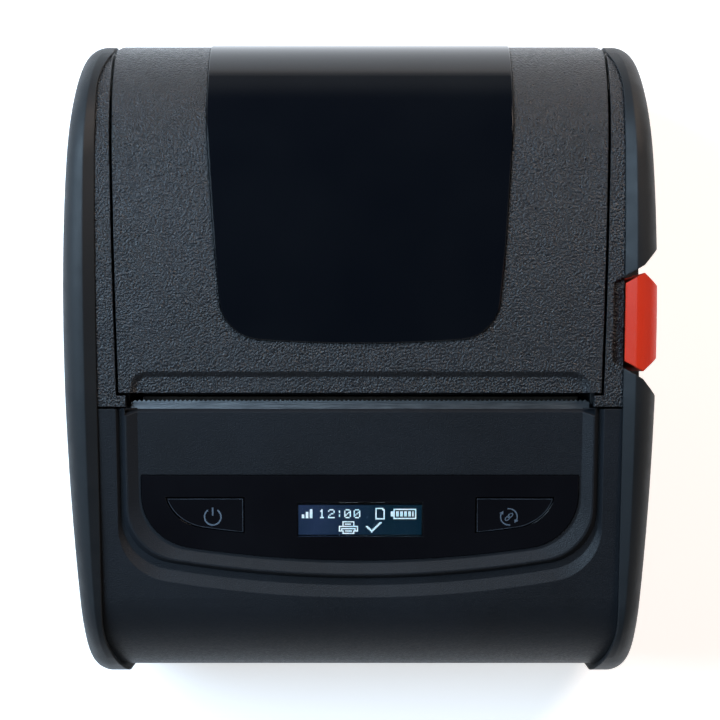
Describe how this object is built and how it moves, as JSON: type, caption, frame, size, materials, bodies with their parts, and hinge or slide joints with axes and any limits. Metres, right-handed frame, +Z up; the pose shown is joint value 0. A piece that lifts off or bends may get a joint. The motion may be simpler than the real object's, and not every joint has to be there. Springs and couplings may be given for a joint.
{
  "type": "portable receipt printer",
  "caption": "Pocket receipt printer with a hinged lid over the paper roll, rubber side bumpers, a display, two keys and a side release button.",
  "frame": {"origin": "under the middle of the printer, on the surface it stands on", "axes": "+X to the right, +Y to the back where the lid hinges, +Z up"},
  "size_m": [0.1066, 0.117, 0.0579],
  "materials": {
    "grained_plastic": "coarse spark-erosion grain",
    "fine_plastic": "fine grain",
    "bumper_rubber": "smooth matt rubber",
    "smoked_window": "smoked gloss",
    "gloss_black": "polished",
    "clear_lens": "clear gloss",
    "display": "lit display",
    "button_red": "satin orange red",
    "circuit_board": "solder mask",
    "component_black": "moulded",
    "component_metal": "bright steel",
    "head_ceramic": "glazed ceramic",
    "sink_aluminium": "extruded",
    "platen_grip": "ground rubber",
    "gear_white": "acetal",
    "cell_wrap": "shrink wrap",
    "brass": "turned"
  },
  "bodies": {
    "housing": {"lower_shell": "fine_plastic", "rear_frame": "grained_plastic", "front_cover": "fine_plastic", "left_bumper": "bumper_rubber", "right_bumper": "bumper_rubber", "key_panel": "gloss_black", "display_lens": "clear_lens", "oled_module": "display", "key_board": "circuit_board", "tact_switches": "component_black", "tear_bar": "component_metal", "chassis": "component_metal", "thermal_head": "head_ceramic", "head_heatsink": "sink_aluminium", "head_spring": "component_metal", "paper_guide": "component_black", "paper_sensor": "component_black", "stepper_motor": "component_metal", "gear_stub": "component_metal", "main_board": "circuit_board", "charging_socket": "component_metal", "radio_module": "component_metal", "battery_contacts": "brass", "clip_inserts": "brass", "housing_screws": "component_metal", "chassis_screws": "component_metal", "hinge_pins": "component_metal", "button_spring": "component_metal"},
    "lid": {"lid_cover": "grained_plastic", "lid_window": "smoked_window", "lid_inner": "component_black", "platen_bushings": "gear_white"},
    "platen": {"platen_rubber": "platen_grip", "platen_shaft": "component_metal", "platen_gear": "gear_white"},
    "idler": {"compound_gear": "gear_white"},
    "drive": {"motor_pinion": "gear_white"},
    "button": {"release_button": "button_red"},
    "latch": {"latch_yoke": "component_metal"},
    "power_button": {"power_key": "gloss_black"},
    "pair_button": {"pair_key": "gloss_black"},
    "battery": {"battery_case": "component_black", "battery_cells": "cell_wrap"},
    "catch": {"battery_latch": "component_black"}
  },
  "joints": [
    {"name": "lid_hinge", "type": "hinge", "parent": "housing", "child": "lid", "pos_m": [0, 0.053, 0.014], "axis": [-1, 0, 0], "range_deg": [0, 95]},
    {"name": "platen_spin", "type": "hinge", "parent": "lid", "child": "platen", "pos_m": [0, -0.00115, 0.0442], "axis": [1, 0, 0], "continuous": true},
    {"name": "idler_spin", "type": "hinge", "parent": "housing", "child": "idler", "pos_m": [0, -0.00505, 0.03721], "axis": [1, 0, 0], "continuous": true},
    {"name": "drive_spin", "type": "hinge", "parent": "housing", "child": "drive", "pos_m": [0, -0.01314, 0.03134], "axis": [1, 0, 0], "continuous": true},
    {"name": "button_slide", "type": "slide", "parent": "housing", "child": "button", "axis": [-1, 0, 0], "range_m": [0, 0.0018], "stiffness_N_per_m": 300},
    {"name": "latch_turn", "type": "hinge", "parent": "housing", "child": "latch", "pos_m": [0, -0.0026, 0.0314], "axis": [1, 0, 0], "range_deg": [0, 4]},
    {"name": "power_press", "type": "slide", "parent": "housing", "child": "power_button", "axis": [0, 0.225, -0.9744], "range_m": [0, 0.0004], "stiffness_N_per_m": 400},
    {"name": "pair_press", "type": "slide", "parent": "housing", "child": "pair_button", "axis": [0, 0.225, -0.9744], "range_m": [0, 0.0004], "stiffness_N_per_m": 400},
    {"name": "battery_tilt", "type": "hinge", "parent": "housing", "child": "battery", "pos_m": [0, -0.0054, 0.0024], "axis": [1, 0, 0], "range_deg": [0, 30]},
    {"name": "catch_slide", "type": "slide", "parent": "housing", "child": "catch", "axis": [0, -1, 0], "range_m": [0, 0.002], "stiffness_N_per_m": 200}
  ],
  "couplings": [
    {"joint": "idler_spin", "follows": "platen_spin", "ratio": -1.6667},
    {"joint": "drive_spin", "follows": "platen_spin", "ratio": 5},
    {"joint": "latch_turn", "follows": "button_slide", "rad_per_m": 37.6}
  ]
}
